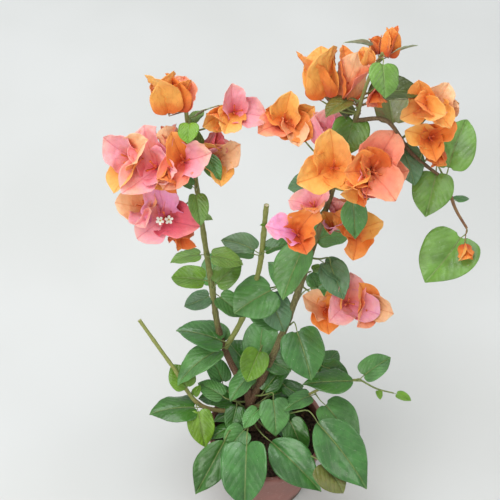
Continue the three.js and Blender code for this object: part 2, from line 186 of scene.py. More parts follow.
def times(value, factor, plus=0.0):
    return maths("MULTIPLY_ADD", value, factor, plus)


def ranged(value, low, high, fromZero=0.0, toOne=1.0):
    inputs = {"Value": value, "From Min": low, "From Max": high, "To Min": fromZero, "To Max": toOne}
    return node(value.id_data, "MapRange", inputs, interpolation_type="SMOOTHSTEP").outputs[0]


def blended(share, first, second):
    return node(share.id_data, "Mix", {0: share, 6: first, 7: second}, data_type="RGBA").outputs[2]


def placeOn(tree):
    return node(tree, "TexCoord").outputs["Object"]


def heightOn(tree):
    return node(tree, "SeparateXYZ", {0: placeOn(tree)}).outputs[2]


def noiseOf(tree, scale, detail=3.0, stretch=(1, 1, 1), roughness=0.5):
    moved = node(tree, "Mapping", {"Vector": placeOn(tree), "Scale": stretch}).outputs[0]
    inputs = {"Vector": moved, "Scale": scale, "Detail": detail, "Roughness": roughness}
    return node(tree, "TexNoise", inputs).outputs["Fac"]


# Gives a material its colour and, where they vary, its relief and roughness
def paint(material, colour, relief=None, strength=0.5, distance=mm, rough=None):
    tree = material.node_tree
    ends = {"Base Color": colour}
    if rough is not None:
        ends["Roughness"] = rough
    if relief is not None:
        bump = node(tree, "Bump", {"Height": relief, "Strength": strength, "Distance": distance})
        ends["Normal"] = bump.outputs[0]
    for key, value in ends.items():
        tree.links.new(value, shaderOf(material).inputs[key])
    return material


def toned(colour, tone):
    return tuple(min(1, channel * tone) for channel in colour)


# across is 0 at the midrib and 1 at the widest edge, along runs from the stalk to the tip
def bladeCoordinates(tree):
    split = node(tree, "SeparateXYZ", {0: node(tree, "TexCoord").outputs["UV"]})
    return maths("ABSOLUTE", times(split.outputs[0], 2.0, -1.0)), split.outputs[1]


# 1 on a line that repeats at every whole number of value, 0 beside it
def stripes(value, width):
    return ranged(maths("ABSOLUTE", times(maths("FRACT", value), 2.0, -1.0)), 1 - width, 1.0)


def cellEdges(tree, scale, width):
    inputs = {"Vector": placeOn(tree), "Scale": scale}
    cells = node(tree, "TexVoronoi", inputs, feature="DISTANCE_TO_EDGE")
    return ranged(cells.outputs["Distance"], width, 0.0)


leafLook = {
    # the letter that a spray calls each hue by, the hue's name and its colour
    "hues": {
        "f": ("fresh", (0.15, 0.315, 0.022)),
        "l": ("light", (0.145, 0.3, 0.05)),
        "m": ("mid", (0.095, 0.26, 0.065)),
        "b": ("dull", (0.1, 0.215, 0.1)),
        "d": ("deep", (0.04, 0.155, 0.014)),
        "g": ("glossy", (0.052, 0.185, 0.036)),
        "o": ("olive", (0.15, 0.165, 0.035)),
        "s": ("shaded", (0.065, 0.095, 0.02)),
        # pale is a painted sky sheen: leaves turned edge-on take it on both sides, as if their gloss
        # caught the sky
        "w": ("pale", (0.4, 0.5, 0.34)),
    },
    "shiny": "gd", "shinyCoat": 0.6, "coat": 0.2, "sameBelow": "osw",
    "under": (0.22, 0.32, 0.15), "vein": (0.28, 0.42, 0.14), "spot": (0.5, 0.56, 0.42),
    "blight": (0.2, 0.115, 0.035), "rough": (0.27, 0.44), "roughBelow": (0.55, 0.72),
    "veinPairs": 5.5, "veinRise": 0.4, "veinArch": 0.22, "veinWidth": 0.13, "netScale": 230,
}


def leafMaterial(name, colour, coat):
    under = name == "under"
    specular = 0.3 if under else 0.42
    material, tree = newMaterial(
        "leaf" + name.title(), Specular_IOR_Level=specular, Coat_Weight=coat, Coat_Roughness=0.17)
    across, along = bladeCoordinates(tree)
    rise = times(across, leafLook["veinRise"], times(times(across, across), leafLook["veinArch"]))
    slanted = times(maths("SUBTRACT", along, rise), leafLook["veinPairs"])
    slanted = times(noiseOf(tree, 45), 0.5, slanted)
    midrib = ranged(across, 0.06, 0.012)
    net = cellEdges(tree, leafLook["netScale"], 0.12)
    vein = maths("MAXIMUM", times(stripes(slanted, leafLook["veinWidth"]), 0.42), midrib)
    vein = maths("MAXIMUM", vein, times(net, 0.1))
    patches = ranged(noiseOf(tree, 34, 5.0, roughness=0.6), 0.3, 0.7)
    body = blended(patches, toned(colour, 0.66), toned(colour, 1.28))
    age = ranged(noiseOf(tree, 9, 2.0), 0.4, 0.7, 0.0, 0.35)
    body = blended(age, body, (colour[0] * 1.5, colour[1] * 1.1, colour[2] * 0.8))
    edged = blended(ranged(across, 0.7, 1.1, 0.0, 0.3), body, toned(colour, 1.5))
    veined = blended(times(vein, 0.32), edged, leafLook["vein"])
    if name == "olive":
        blight = ranged(noiseOf(tree, 75, 5.0, roughness=0.7), 0.52, 0.64, 0.0, 0.75)
        veined = blended(blight, veined, leafLook["blight"])
    specks = ranged(noiseOf(tree, 480, 2.0), 0.71, 0.76, 0.0, 0.6)
    spotted = blended(specks, veined, leafLook["spot"])
    rough = ranged(noiseOf(tree, 60, 4.0), 0.3, 0.7, *leafLook["roughBelow" if under else "rough"])
    puffs = maths("ABSOLUTE", maths("SINE", times(slanted, pi)))
    relief = times(puffs, 0.5, times(noiseOf(tree, 110, 4.0), 1.9))
    relief = times(midrib, -0.8, times(net, -0.08, relief))
    return paint(material, spotted, relief, -0.5 if under else 0.62, 1.2 * mm, rough)


leafMaterials = {"under": leafMaterial("under", leafLook["under"], 0)}
for letter, look in leafLook["hues"].items():
    coat = leafLook["shinyCoat" if letter in leafLook["shiny"] else "coat"]
    leafMaterials[letter] = leafMaterial(*look, coat)

bractLook = {
    # each hue's name, its piece, and its colour at the bract's foot, over most of it and along its edge
    "hues": {
        "y": ("peach", "coral", (0.9, 0.27, 0.1), (0.95, 0.47, 0.24), (0.97, 0.58, 0.35)),
        "a": ("apricot", "orange", (0.8, 0.15, 0.015), (0.95, 0.4, 0.08), (0.97, 0.53, 0.16)),
        "o": ("orange", "orange", (0.6, 0.075, 0.01), (0.88, 0.235, 0.035), (0.94, 0.36, 0.09)),
        "f": ("flame", "orange", (0.4, 0.035, 0.008), (0.7, 0.125, 0.018), (0.86, 0.24, 0.045)),
        "c": ("coral", "coral", (0.72, 0.09, 0.05), (0.9, 0.25, 0.16), (0.95, 0.4, 0.23)),
        "p": ("pink", "pink", (0.82, 0.13, 0.17), (0.94, 0.36, 0.42), (0.96, 0.5, 0.42)),
        "r": ("rose", "pink", (0.45, 0.03, 0.06), (0.8, 0.12, 0.17), (0.91, 0.28, 0.28)),
        "v": ("orchid", "pink", (0.75, 0.13, 0.3), (0.92, 0.36, 0.6), (0.95, 0.48, 0.64)),
    },
    "warm": (0.93, 0.36, 0.13), "rays": 3.6, "rayWidth": 0.14, "netScale": 300,
}


def bractMaterial(name, foot, body, edge):
    material, tree = newMaterial(
        "bract" + name.title(), Specular_IOR_Level=0.3, Sheen_Weight=0.12,
        Subsurface_Weight=0.15, Subsurface_Scale=0.004)
    across, along = bladeCoordinates(tree)
    drift = times(noiseOf(tree, 50, 4.0), 0.7, -0.35)
    reach = maths("ADD", times(across, 0.25, along), drift)
    lower = blended(ranged(reach, 0.04, 0.54), foot, body)
    whole = blended(ranged(reach, 0.6, 1.2), lower, edge)
    washed = blended(ranged(noiseOf(tree, 24, 3.0), 0.5, 0.72, 0.0, 0.45), whole, bractLook["warm"])
    fan = maths("ARCTAN2", across, maths("ADD", along, 0.12))
    fan = times(fan, bractLook["rays"], times(noiseOf(tree, 100, 2.0), 1.1))
    ray = times(stripes(fan, bractLook["rayWidth"]), ranged(along, 0.9, 0.3))
    vein = maths("MAXIMUM", times(ray, 0.6), ranged(across, 0.045, 0.01))
    vein = maths("MAXIMUM", vein, times(cellEdges(tree, bractLook["netScale"], 0.14), 0.13))
    veined = blended(times(vein, 0.42), washed, toned(foot, 0.9))
    rough = ranged(noiseOf(tree, 160), 0.3, 0.7, 0.5, 0.68)
    paper = times(vein, -0.6, times(noiseOf(tree, 170, 4.0), 1.5))
    return paint(material, veined, paper, 0.55, 1.1 * mm, rough)


bractMaterials, groupOf = {}, {}
for letter, (name, group, *colours) in bractLook["hues"].items():
    groupOf[letter] = group
    bractMaterials[letter] = bractMaterial(name, *colours)

wood = ((0.1, 0.05, 0.028), (0.2, 0.11, 0.06))
# Each bark: its name, dark and pale hue low down, and high up, woody to one height, green from the other
barkLook = {
    "woody": ("barkBrown", wood, ((0.13, 0.085, 0.04), (0.22, 0.16, 0.075)), 0.5, 0.64),
    "left": ("barkLeft", wood, ((0.19, 0.2, 0.055), (0.3, 0.31, 0.11)), 0.2, 0.3),
    "right": ("barkRight", wood, ((0.13, 0.115, 0.045), (0.25, 0.22, 0.09)), 0.15, 0.26),
    "young": (
        "stemYoung", ((0.2, 0.15, 0.05), (0.26, 0.2, 0.08)), ((0.24, 0.27, 0.06), (0.34, 0.36, 0.12)),
        0.14, 0.2),
}
corky = (0.34, 0.27, 0.18)
# Young twigs, bloom stalks and cut ends: name, dark and pale hue, and roughness
stemLook = {
    "twig": ("twigGreen", (0.16, 0.2, 0.06), (0.27, 0.33, 0.1), 0.5),
    "rust": ("twigRust", (0.2, 0.09, 0.045), (0.33, 0.19, 0.08), 0.5),
    "cut": ("cutWood", (0.5, 0.42, 0.27), (0.66, 0.58, 0.42), 0.7),
}


def barkMaterial(name, low, high, woodyTo, greenFrom):
    material, tree = newMaterial(name, Specular_IOR_Level=0.35)
    mottle = noiseOf(tree, 130, 4.0, (1, 1, 0.3))
    streak = noiseOf(tree, 900, 4.0, (1, 1, 0.08))
    brown = blended(ranged(streak, 0.35, 0.65), *low)
    green = blended(ranged(streak, 0.3, 0.7), *high)
    aged = ranged(times(mottle, 0.12, heightOn(tree)), woodyTo + 0.06, greenFrom + 0.06)
    corks = ranged(noiseOf(tree, 520, 2.0), 0.62, 0.72, 0.0, 0.5)
    spotted = blended(corks, blended(aged, brown, green), corky)
    rough = ranged(mottle, 0.3, 0.7, 0.6, 0.85)
    return paint(material, spotted, maths("ADD", streak, mottle), 0.5, 0.8 * mm, rough)


def stemMaterial(name, dark, pale, roughness=0.5):
    material, tree = newMaterial(name, Specular_IOR_Level=0.4, Roughness=roughness)
    mottled = blended(ranged(noiseOf(tree, 160), 0.3, 0.7), dark, pale)
    return paint(material, mottled, noiseOf(tree, 700, 2.0, (1, 1, 0.3)), 0.3, 0.4 * mm)


stemMaterials = {key: barkMaterial(*look) for key, look in barkLook.items()}
stemMaterials.update({key: stemMaterial(*look) for key, look in stemLook.items()})
print("materials are mixed")


# The plant's own rule: limbs along smooth curves, sprays from the limbs, and leaves and blooms from those

def seeded(text):
    state = 7
    for letter in text:
        state = (state * 31 + ord(letter)) % 2**32

    def draw(low=0.0, high=1.0):
        nonlocal state
        state = (state * 1664525 + 1013904223) % 2**32
        return low + (high - low) * state / 2**32
    return draw


def heading(compass, climb):
    turn, rise = radians(compass), radians(climb)
    return Vector((cos(rise) * cos(turn), cos(rise) * sin(turn), sin(rise)))


def mix(first, second, share):
    return first + (second - first) * share


# A smooth curve through its places, walked by share of its length
class Strand:
    steps = 200

    def __init__(self, places):
        ends = [2 * places[0] - places[1], 2 * places[-1] - places[-2]]
        self.places = [ends[0], *places, ends[1]]
        self.marks = [self.spot(i / self.steps) for i in range(self.steps + 1)]
        walks = [(b - a).length for a, b in zip(self.marks, self.marks[1:])]
        self.walked = np.concatenate([[0], np.cumsum(walks)])
        self.length = self.walked[-1]

    def spot(self, t):
        spans = len(self.places) - 3
        i = min(int(t * spans), spans - 1)
        w = t * spans - i
        a, b, c, d = self.places[i:i + 4]
        ab, bc, cd = [sqrt((q - p).length) for p, q in ((a, b), (b, c), (c, d))]
        leave = ((b - a) / ab - (c - a) / (ab + bc) + (c - b) / bc) * bc
        arrive = ((c - b) / bc - (d - b) / (bc + cd) + (d - c) / cd) * bc
        bend = -3 * b + 3 * c - 2 * leave - arrive
        return b + leave * w + bend * w * w + (2 * b - 2 * c + leave + arrive) * w ** 3

    def at(self, share):
        t = np.interp(share * self.length, self.walked, np.linspace(0, 1, self.steps + 1))
        return self.spot(float(t))

    def ahead(self, share):
        return (self.at(min(1, share + 0.01)) - self.at(max(0, share - 0.01))).normalized()


pot = {
    "rimRadius": 75 * mm, "baseRadius": 54 * mm, "height": 130 * mm, "wall": 2.4 * mm, "floor": 3 * mm,
    "lipHeight": 13 * mm, "lipProud": 3.5 * mm, "sides": 96,
    "drainHoles": 6, "drainRadius": 4 * mm, "drainRing": 38 * mm,
}
soilTop = pot["height"] - 20 * mm

trunkFoot = (-19, 14, 110.35)
rootFlare = 5  # mm more at the trunk's foot, gone a fifth of the way up
# Each limb: its piece's name, what it grows from and how far up, the places in mm that it passes, its
# radius in mm at both ends, and its bark. The stubs are cut flat
limbTable = {
    "trunk": ("trunkBark", "", 0, [(-21, 22, 133), (-24, 36, 162)], (7, 5.4), "woody"),
    "bough_left": (
        "boughLeftBark", "trunk", 0.8, [(-56, 76, 205), (-70, 100, 325), (-88, 126, 575)],
        (4.4, 2.2), "left"),
    "bough_right": (
        "boughRightBark", "trunk", 0.62, [(20, 70, 250), (58, 95, 430), (86, 100, 598)],
        (4.8, 2.5), "right"),
    "bough_right_top": (
        "boughRightTopBark", "bough_right", 0.97, [(92, 99, 640), (102, 100, 672)], (2.1, 1.5), "left"),
    "bough_right_side": (
        "boughRightSideBark", "bough_right", 0.97, [(112, 92, 592), (142, 80, 556), (186, 74, 518)],
        (2.3, 1.6), "woody"),
    "stub_middle": (
        "stubMiddleBark", "bough_left", 0.16, [(-34, 88, 240), (-12, 108, 318), (-3, 130, 418)],
        (3.6, 3), "young"),
    "stub_low_left": (
        "stubLowLeftBark", "trunk", 0.42, [(-84, 18, 154), (-121, 50, 200), (-160, 85, 250)],
        (3, 2.3), "young"),
    "shoot_low_right": (
        "shootLowRightBark", "trunk", 0.55, [(36, 20, 166), (80, 27, 192), (114, 26, 206)],
        (2.2, 1.4), "young"),
}
limbs = {}
for name, (piece, host, at, places, radius, look) in limbTable.items():
    foot = limbs[host]["strand"].at(at) if host else Vector(trunkFoot) * mm
    strand = Strand([foot, *[Vector(place) * mm for place in places]])
    limbs[name] = {"piece": piece, "strand": strand, "radius": radius, "look": look, "isRoot": not host}


def limbRadius(limb, share):
    flare = rootFlare * max(0, 1 - share * 5) ** 2 if limb["isRoot"] else 0
    return (mix(*limb["radius"], share) + flare) * mm


# Each spray: its name, how far up its limb, its reach in mm, its leaves, their hues and, where it isn't
# the usual one, the share of the twig at which they start. Each leaf: compass, climb, length and, where
# they aren't the usual ones, its share of width and its roll
foliage = {}
foliage["bough_left"] = [
    # the w leaf here is turned edge-on and takes the painted sky sheen
    ("leaves_left_top", 0.93, (1, 2, 16), [(60, 0, 22), (28, 9, 33, 0.6, -40)], "lw"),
    ("leaves_left_high", 0.86, (12, -12, 22), [(128, 18, 28, 0.95), (300, -36, 34, 0.62)], "lm"),
    ("leaves_left_upper", 0.76, (0, -23, 21), [(150, 20, 30), (281, -37, 34, 0.66)], "ml"),
    ("leaves_left_bend", 0.53, (0, -12, 6), [(185, -8, 36), (358, -15, 38)], "ll"),
    ("leaves_left_elbow", 0.44, (2, -14, -6), [(172, -15, 44), (34, 15, 42)], "fl"),
    ("leaves_left_back", 0.35, (2, 8, 4), [(200, -30, 36), (320, -30, 40), (95, 5, 48)], "bmm"),
    ("leaves_fork", 0.17, (9, -5, 12), [(125, -25, 40), (206, -22, 70, 0.66), (167, 3, 61, 0.8)], "mmg"),
    ("finer_leaf_high", 0.93, (2, -8, 26), [(264, -32, 22, 1.05)], "f"),
    ("finer_leaf_left", 0.62, (-2, 8, 8), [(120, 10, 20), (330, 10, 14)], "ml"),
]
foliage["stub_middle"] = [
    ("leaves_stub_high", 0.7, (-2, -8, 4), [(155, 0, 44), (25, -5, 36), (173, -13, 44)], "bdd"),
    ("leaves_stub_low", 0.46, (30, -7, 11), [(293, -40, 50, 0.8), (210, -22, 55, 1.02)], "bm"),
    ("finer_leaf_stub", 0.86, (3, -5, 7), [(330, 20, 12, 0.6), (190, 30, 9, 0.6)], "ff"),
]
foliage["bough_right"] = [
    ("leaves_right_low", 0.27, (9, -5, 17), [(160, 0, 50), (292, -37, 63, 0.8)], "mg"),
    ("leaves_right_mid", 0.56, (-8, -4, 17), [(30, -10, 46), (242, -34, 62, 0.78)], "mm"),
    ("leaves_right_inner", 0.52, (20, -6, 8), [(321, -14, 42), (288, -25, 44)], "bb"),
    ("leaves_right_back", 0.73, (-4, 16, 6), [(60, 0, 42), (180, -22, 38, 0.8)], "mb"),
    ("leaves_right_upper", 0.76, (18, -10, 8), [(345, -25, 28), (279, -50, 46, 0.62)], "bm"),
    ("leaves_right_high", 0.94, (2, 9, 17), [(140, 20, 36), (258, -37, 40, 0.95)], "ol"),
    ("leaves_back_right", 0.36, (10, 12, 2), [(120, 10, 50), (20, 0, 54)], "mm"),
    ("finer_leaf_right", 0.47, (6, -6, 8), [(300, -10, 20), (20, 10, 14)], "ml"),
]
# The w leaves up here are turned edge-on and take the painted sky sheen
foliage["bough_right_top"] = [
    ("leaves_crown", 0.86, (4, -4, 10), [(20, 16, 32, 0.5, -44), (274, -41, 32, 0.98)], "wl"),
    ("leaves_crown_back", 0.3, (-8, 4, 0), [(15, -5, 60, 0.62), (218, 0, 34)], "so"),
    ("finer_leaf_crown", 0.97, (2, 12, -5), [(166, 4, 33, 0.5, 44)], "w"),
    ("finer_leaf_crown_low", 0.12, (-14, 10, 4), [(14, -2, 62, 0.36, -60), (96, 16, 34, 0.62)], "wo"),
]
foliage["bough_right_side"] = [
    ("leaves_side_near", 0.42, (-3, 24, -14), [(296, -46, 44, 0.84), (96, 8, 50, 0.95)], "bo"),
    ("leaves_side_tip", 1, (-14, 10, 16), [(72, 19, 60, 0.7), (253, -38, 46, 0.96)], "ll", 0.3),
    ("leaves_side_end", 0.95, (26, -25, -48), [(30, -20, 20), (234, -34, 61, 0.92)], "ml"),
]
foliage["trunk"] = [
    ("leaves_heart", 0.95, (17, 31, 62), [
        (220, -27, 44, 0.82), (350, -30, 40, 0.82), (243, -33, 42, 0.9)], "mdf"),
    ("leaves_heart_right", 0.88, (29, -12, 26), [(45, 17, 40), (280, -36, 46, 0.85)], "dm"),
    ("leaves_heart_left", 0.7, (-28, -6, 16), [(255, -20, 34), (150, 0, 38)], "dm"),
    ("leaves_front", 0.5, (-4, -52, 34), [(224, -28, 38, 0.9), (267, -37, 78, 0.76)], "mg", 0.6),
    # these two take the deep hue as painted shade, for the shadow they lie in low at the front
    ("leaves_front_left", 0.3, (-26, -36, 28), [(200, -10, 40, 0.6), (240, -38, 80, 0.5)], "dd"),
    ("leaves_front_right", 0.3, (12, -40, 28), [(318, -20, 88, 0.56)], "g"),
    ("leaves_rim_right", 0.45, (68, -30, 54), [(300, -40, 50, 0.7), (315, -29, 104, 0.58)], "dg", 0.6),
    ("leaves_back", 0.8, (14, 34, 22), [(40, 0, 58), (135, 0, 54), (90, 5, 60)], "mdm"),
    ("finer_leaf_rim", 0.3, (80, -76, 29), [(318, -26, 46, 0.98)], "o"),
    ("finer_leaf_low", 0.3, (32, -10, 31), [(348, -12, 44), (290, -32, 34)], "db"),
    ("finer_leaf_foot", 0.35, (-17, 2, 27), [(195, -14, 36), (256, -34, 34)], "dd"),
    ("finer_leaf_dark", 0.6, (14, -20, 30), [(330, -10, 36), (225, -20, 30)], "dm"),
    ("finer_leaf_deep", 0.5, (38, 22, 26), [(20, -5, 46), (330, -20, 40)], "dd"),
    ("finer_leaf_rear", 0.4, (-34, 22, 24), [(170, 0, 44), (110, 5, 42)], "dm"),
]
foliage["stub_low_left"] = [
    ("leaves_low_left", 0.36, (-9, 5, 17), [(59, 16, 16), (123, 20, 36, 0.86)], "ff"),
    ("leaves_low_left_foot", 0.26, (-17, 0, 13), [(186, -3, 60, 0.8), (282, -38, 48, 0.66)], "df"),
]
foliage["shoot_low_right"] = [
    ("leaves_shoot_low", 0.6, (4, -4, -6), [(200, -10, 40), (314, -28, 72, 0.68)], "mm"),
    ("leaves_shoot_mid", 0.66, (-4, 26, 14), [(60, 0, 40), (344, -17, 38)], "dd"),
    ("leaves_shoot_tip", 1, (42, -17, -5), [
        (187, 2, 64, 0.64), (290, -20, 12), (338, -10, 20)], "dff", 0.1),
    ("finer_leaf_shoot", 0.97, (3, -2, 4), [(29, 12, 42, 0.78)], "m"),
]

# Each bloom: its place from the twig's tip, compass, climb, size, turn, how far it opens, the hues of its
# three bracts and, where it isn't the usual one, their share of width. A star after the hues is a small
# white flower that is open, and a bloom with no hues has only its stalks left
blossom = {}
blossom["bough_left"] = [
    ("blossom_left_top", 1, (-3, -4, -1), [
        ((-14, -3, 3), 100, 45, 1.12, 265, 0.48, "yaa"), ((-5, 1, 4), 74, 50, 0.92, 275, 0.4, "coo")]),
    ("blossom_left_inner", 0.93, (35, 6, 15), [
        ((12, 2, 6), 295, 55, 0.8, 95, 1.1, "pap"), ((4, 5, 3), 235, 10, 0.7, 75, 0.45, "oao")]),
    ("blossom_left_mid", 0.86, (15, -11, 4), [
        ((8, -3, 2), 300, 42, 0.8, 8, 1.05, "yaa"), ((-3, 0, 5), 25, 35, 0.9, 125, 0.38, "rpr*")]),
    ("blossom_left_near", 0.86, (-8, -29, 5), [
        ((1, 5, 11), 270, 55, 0.9, 120, 1.1, "ocp"), ((-16, -5, 6), 265, -5, 0.6, 85, 0.6, "fof")]),
    ("blossom_left_outer", 0.84, (-39, -16, 0), [
        ((1, 1, 6), 245, 55, 1.15, 130, 1.1, "ppp"), ((-23, 11, 9), 220, 40, 1, 175, 1, "pay")]),
    ("blossom_left_low", 0.73, (-41, -31, 1), [
        ((-15, 6, 7), 235, 55, 0.85, 205, 1, "ypy"), ((7, -6, 4), 270, 50, 1.02, 216, 1.1, "prv**")]),
    ("finer_left_tip", 0.88, (-17, -17, 7), [((-2, 2, 7), 110, 50, 0.7, 80, 0.4, "ypc*")]),
    ("finer_left_low", 0.73, (-26, -34, -6), [
        ((6, -7, 0), 290, -10, 0.7, 105, 0.55, "fof"), ((-12, 9, 10), 95, 55, 0.8, 85, 0.35, "rpr")]),
]
blossom["bough_right"] = [
    ("blossom_middle_back", 0.82, (-46, 30, 28), [
        ((-12, 2, 9), 265, 60, 0.9, 90, 1.1, "aco"), ((-5, 3, 5), 290, 60, 0.85, 15, 1, "aoy")]),
    ("blossom_centre_left", 0.84, (-8, -26, 15), [
        ((-4, -9, 15), 270, 55, 1.02, 90, 1.1, "aaa"), ((-7, 35, 7), 100, 45, 0.95, 80, 0.36, "pvp")]),
    ("blossom_centre_right", 0.86, (19, -35, 6), [
        ((5, -2, 11), 280, 55, 1.15, 55, 1, "coc"), ((7, -2, 6), 290, 50, 1, 345, 0.95, "cfp")]),
    ("blossom_middle_low", 0.7, (-26, -28, -1), [
        ((-8, -11, -1), 255, 65, 0.85, 190, 1, "vfo"), ((11, 17, 10), 200, 75, 0.7, 230, 0.9, "pcp")]),
    ("blossom_right_low", 0.64, (20, -17, 5), [
        ((17, -3, 5), 295, 60, 0.8, 245, 1.1, "oao"), ((-8, 1, 4), 200, 85, 0.6, 195, 0.8, "avp")]),
    ("blossom_right_front", 0.42, (48, -31, 1), [
        ((5, -4, 12), 275, 60, 1, 90, 1, "ppv"), ((-20, -6, 5), 250, 50, 0.8, 175, 1.1, "yoa")]),
    ("finer_curl", 0.8, (21, -38, 30), [((1, -12, 18), 240, -5, 0.75, 70, 0.45, "oaf")]),
    ("finer_low_pink", 0.66, (12, -6, 3), [((2, 4, 6), 75, 55, 0.55, 100, 0.6, "pcp")]),
    ("finer_front", 0.42, (60, -35, -5), [((11, 0, 13), 305, 40, 0.85, 325, 1, "yoc")]),
]
blossom["bough_right_top"] = [
    ("blossom_crown_left", 0.12, (-20, 6, 12), [
        ((-12, 2, 5), 118, 54, 1.24, 106, 0.42, "aao", 0.84),
        ((6, 1, 4), 62, 50, 1.2, 100, 0.46, "yco", 0.8)]),
    ("blossom_crown", 1, (2, -2, -2), [
        ((4, -1, 2), 75, 50, 0.68, 95, 0.28, "ofo", 0.8),
        ((-16, -6, -3), 105, 55, 0.4, 265, 0.45, "aoa")]),
    ("finer_crown_left", 0.1, (-35, 10, 8), [((-6, 3, 4), 96, 46, 0.56, 265, 0.36, "oao")]),
    ("finer_crown_mid", 0.95, (-1, 5, -4), [((-1, 3, 2), 100, 40, 0.42, 85, 0.35, "fof")]),
    ("finer_spent", 0.12, (-2, 6, 10), [
        ((1, -3, -3), 250, -20, 1, 40, 1.5, ""), ((-4, -2, -2), 300, -30, 0.9, 10, 1.5, "")]),
    ("finer_crown_low", 0.4, (14, 11, 1), [((-1, -5, -1), 270, -10, 0.5, 90, 0.5, "fcf")]),
]
blossom["bough_right_side"] = [
    ("blossom_side_upper", 0.42, (23, 17, 18), [
        ((-4, -2, 11), 265, 45, 0.66, 215, 1.15, "aao"), ((7, 1, 6), 295, 60, 0.74, 40, 1, "yoa")]),
    ("blossom_side_lower", 0.66, (4, 6, 12), [((4, 4, 11), 275, 45, 0.74, 35, 1.05, "oao")]),
    ("finer_side_spike", 0.42, (31, 21, 17), [((4, 0, 3), 355, 10, 0.6, 130, 0.35, "ycy")]),
    ("finer_side_down", 0.7, (9, 7, 13), [((3, -1, 2), 275, -20, 0.55, 95, 0.5, "ffo")]),
    ("finer_side_end", 0.95, (26, -25, -48), [((-6, -27, 4), 275, -25, 0.46, 95, 0.45, "oao")]),
]
twig = {"radius": 1.3 * mm, "tipRadius": 0.9 * mm, "sag": 0.12, "stout": 1.7, "fine": 0.85}


def sprayStrand(limb, at, reach):
    foot, reach = limb["strand"].at(at), Vector(reach) * mm
    return Strand([foot, foot + reach * 0.5 + Vector((0, 0, -twig["sag"] * reach.length)), foot + reach])


# One leaf or bract is modelled flat, 1 long and 1 to each side at its widest, then copied and curved.
# rows are its widths on the way from the stalk to the tip

leafStock = {"columns": 10, "thickness": 0.009, "quilt": 0.006, "groove": 0.018}
bladeForms = {
    "heartLeaf": {
        **leafStock, "lobe": 0.07, "veins": 5.5,
        "rows": [(0, 0.34), (0.04, 0.64), (0.1, 0.84), (0.18, 0.96), (0.28, 1), (0.4, 0.99), (0.52, 0.93),
                 (0.64, 0.81), (0.75, 0.62), (0.85, 0.39), (0.93, 0.18), (0.975, 0.065), (1, 0.012)],
    },
    "longLeaf": {
        **leafStock, "lobe": 0.01, "veins": 6.5,
        "rows": [(0, 0.12), (0.05, 0.4), (0.12, 0.66), (0.22, 0.88), (0.34, 1), (0.46, 0.99),
                 (0.58, 0.88), (0.7, 0.67), (0.8, 0.44), (0.89, 0.22), (0.96, 0.07), (1, 0.012)],
    },
    "bract": {
        "columns": 12, "thickness": 0.007, "lobe": 0.09, "veins": 4, "quilt": 0.0, "groove": 0.012,
        "rows": [(0, 0.3), (0.035, 0.6), (0.09, 0.82), (0.17, 0.95), (0.27, 1), (0.39, 1), (0.51, 0.96),
                 (0.62, 0.89), (0.73, 0.76), (0.82, 0.59), (0.89, 0.39), (0.945, 0.19), (1, 0.02)],
    },
}


def modelBlade(name, form):
    rows = form["rows"]
    deselectAll()
    bpy.ops.mesh.primitive_grid_add(x_subdivisions=form["columns"], y_subdivisions=len(rows) - 1, size=2)
    blade = bpy.context.object
    blade.name = name
    startEdit("VERT")
    for i, (share, width) in reversed(list(enumerate(rows))):  # each row moves clear of the rest
        level = -1 + 2 * i / (len(rows) - 1)
        selectWhere(blade, lambda v: abs(v.co.y - level) < 1e-4)
        bpy.ops.transform.resize(value=(width, 1, 1))
        bpy.ops.transform.translate(value=(0, 2 + share - level, 0))
    for side in (-1, 1):  # the lobes on each side of the stalk reach back past it
        for inner, upTo in ((0.15, 2.2), (0.35, 2.1)):
            selectWhere(blade, lambda v: v.co.x * side > inner and v.co.y < upTo)
            bpy.ops.transform.translate(value=(0, -form["lobe"] * 0.5, 0))
    bpy.ops.mesh.select_all(action="SELECT")
    bpy.ops.transform.translate(value=(0, -2, 0))
    endEdit()
    applyModifier(blade, "SUBSURF", levels=1, render_levels=1)
    places = placesOf(blade.data)
    corners = np.empty(len(blade.data.loops), int)
    blade.data.loops.foreach_get("vertex_index", corners)
    marks = np.column_stack([0.5 + places[corners, 0] / 2, places[corners, 1]])
    blade.data.uv_layers[0].data.foreach_set("uv", marks.ravel())
    across, along = np.abs(places[:, 0]), places[:, 1]
    slanted = along - leafLook["veinRise"] * across - leafLook["veinArch"] * across ** 2
    puffs = np.abs(np.sin(pi * form["veins"] * slanted)) * np.clip(across * 6, 0, 1)
    places[:, 2] = form["quilt"] * puffs - form["groove"] * np.exp(-(across / 0.09) ** 2)
    setPlaces(blade.data, places)
    applyModifier(blade, "SOLIDIFY", thickness=form["thickness"], offset=0, material_offset=1)
    pick(blade)
    bpy.ops.object.shade_smooth()
    for _ in range(2):
        blade.data.materials.append(None)
    return blade


bladeModels = {name: modelBlade(name, form) for name, form in bladeForms.items()}
print("leaf and bract models:", {name: len(model.data.polygons) for name, model in bladeModels.items()})


# The way that a blade's midrib runs: how far out, how far down and how much turned at each share
def bladeSpine(shape):
    steps = np.linspace(0, 1, 41)
    turns = np.radians(shape["bend"] * steps + shape.get("hook", 0) * steps ** 4)
    middles = (turns[1:] + turns[:-1]) / 2
    reach, drop = [
        np.concatenate([[0], np.cumsum(way(middles))]) / 40 * shape["length"] for way in (np.cos, np.sin)]
    return steps, reach, drop, turns


crumpling = {"waves": 7, "depth": 2.6}


# Shallow dents all over, from slanted waves of about one length
def crumple(across, share, wave, seed):
    dents = 0
    for k in range(crumpling["waves"]):
        way, phase, size = seed * 1.7 + k * 2.4, seed * 3.1 + k * 1.9, wave * (0.75 + 0.08 * k)
        slant = across * 0.5 * cos(way) + share * sin(way)
        dents = dents + np.sin(slant * 2 * pi / size + phase)
    return dents / crumpling["depth"]


